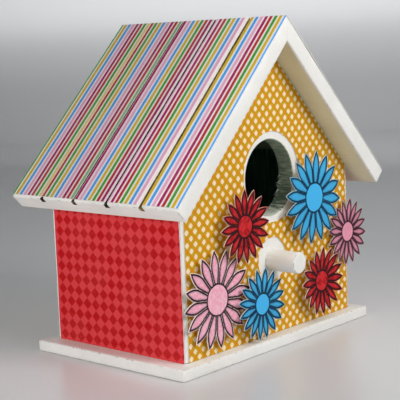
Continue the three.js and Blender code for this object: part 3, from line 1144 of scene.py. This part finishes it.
for number, plan in enumerate(FLOWERS):
    disc = plan.disc_share * flower_radius(plan.name, plan.turn)
    printed = flower_card(f"{plan.name}_print", plan.inks, disc)
    flower(plan, printed, card, number * SEED_STEP)
    foam_pad(plan.name, foam)

for name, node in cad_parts.items():
    if name.startswith("brad_"):
        node.data.materials.clear()
        node.data.materials.append(steel)

# ---- stage, light and camera ----


LIT_POOL = (90, 275)  # painted light pooled in the floor's middle, and where painted shade round it starts
FLOOR_LIT = srgb(215, 214, 214)
WALL_SHADED = srgb(186, 187, 188)
WALL_LIT = srgb(246, 248, 250)
WALL_LIGHT_RISE = (20, 260)  # painted light: the wall grows paler between these heights


def studio_paper():
    """Pale, slightly glossy paper: a painted pool of light on the floor, painted shade round it and low on
    the wall.
    """
    look = Look("studio_paper", 0.3)
    x, y, z = look.axes()
    away = look.math("SQRT", look.math("ADD", look.math("MULTIPLY", x, x), look.math("MULTIPLY", y, y)))
    cloud = look.math("MULTIPLY", look.grain(160), 60.0)
    share = look.step(look.math("ADD", away, cloud), *LIT_POOL)
    wall = look.blend(look.step(z, *WALL_LIGHT_RISE), WALL_SHADED, WALL_LIT)
    look.set(look.shader, {"Base Color": look.blend(share, FLOOR_LIT, wall)})
    return look.material


def studio_cove():
    """A pale floor that sweeps up into a wall all the way round."""
    floor_radius, cove_radius, height, count = 1150, 250, 900, 128
    profile = [(floor_radius * k / 8, 0) for k in range(9)]
    sweep = arc((floor_radius, cove_radius), cove_radius, 270, 360, 16)
    profile += [(point.x, point.y) for point in sweep[1:]]
    profile += [(floor_radius + cove_radius, cove_radius + height * k / 4) for k in range(1, 5)]
    form = Form()
    rings = []
    for radius, rise in profile:
        angles = [2 * math.pi * i / count for i in range(count)]
        rings.append([form.point((radius * math.cos(a), radius * math.sin(a), rise)) for a in angles])
    form.tube(rings)
    cove = placed("studio_cove", form.mesh("studio_cove", [studio_paper()]))


def direction(azimuth, elevation):
    """From the house towards that azimuth and elevation, in degrees; the entrance faces azimuth 0."""
    a, e = math.radians(azimuth), math.radians(elevation)
    return Vector((math.sin(a) * math.cos(e), -math.cos(a) * math.cos(e), math.sin(e)))


LIT_PLACE = Vector((0, 0, 0.07))


def soft_light(name, azimuth, elevation, distance, size, power):
    """A square lamp turned to the middle of the house. Lengths are metres, and power is in watts."""
    lamp = bpy.data.lights.new(name, "AREA")
    lamp.shape = "SQUARE"
    lamp.size = size
    lamp.energy = power
    made = placed(name, lamp)
    away = direction(azimuth, elevation)
    made.location = LIT_PLACE + away * distance
    made.visible_camera = False
    made.rotation_euler = away.to_track_quat("Z", "Y").to_euler()
    return made


BACKDROP_AZIMUTH = 131  # this light stands behind the house and shines at the wall, away from the house
BACKDROP_TURN = 158
BACKDROP_DIP = -9
WORLD_STRENGTH = 0.06

studio_cove()
soft_light("key", 8, 26, 0.8, 0.3, 2.95)
side = soft_light("side", -92, 5, 0.5, 0.3, 1.42)
side.visible_glossy = False  # its reflection would be a bright square on the floor
soft_light("top", -10, 50, 0.4, 0.3, 0.66)
backdrop = soft_light("backdrop", BACKDROP_AZIMUTH, 40, 0.8, 0.5, 4.3)
behind = direction(BACKDROP_AZIMUTH + BACKDROP_TURN, BACKDROP_DIP)
backdrop.rotation_euler = behind.to_track_quat("Z", "Y").to_euler()

world = bpy.data.worlds.new("studio")
world.use_nodes = True
sky = world.node_tree.nodes["Background"]
sky.inputs["Color"].default_value = (1, 1, 1, 1)
sky.inputs["Strength"].default_value = WORLD_STRENGTH
scene.world = world
scene.view_settings.view_transform = "Standard"

CAMERA_AZIMUTH = -48.63
CAMERA_ELEVATION = 7.73
CAMERA_ROLL = math.radians(-2.15)
CAMERA_DISTANCE = 0.51594
CAMERA_TARGET = Vector((-0.00333, 0, 0.0638))
CAMERA_LENS = 99.98

back = direction(CAMERA_AZIMUTH, CAMERA_ELEVATION)
level = (-back).cross(Vector((0, 0, 1))).normalized()
above = back.cross(level)
right = level * math.cos(CAMERA_ROLL) + above * math.sin(CAMERA_ROLL)
up = above * math.cos(CAMERA_ROLL) - level * math.sin(CAMERA_ROLL)
turned = Matrix((right, up, back)).transposed().to_4x4()
camera_data = bpy.data.cameras.new("camera")
camera_data.lens = CAMERA_LENS
camera_data.sensor_width = 36
camera = placed("camera", camera_data)
camera.matrix_world = Matrix.Translation(CAMERA_TARGET + back * CAMERA_DISTANCE) @ turned
scene.camera = camera
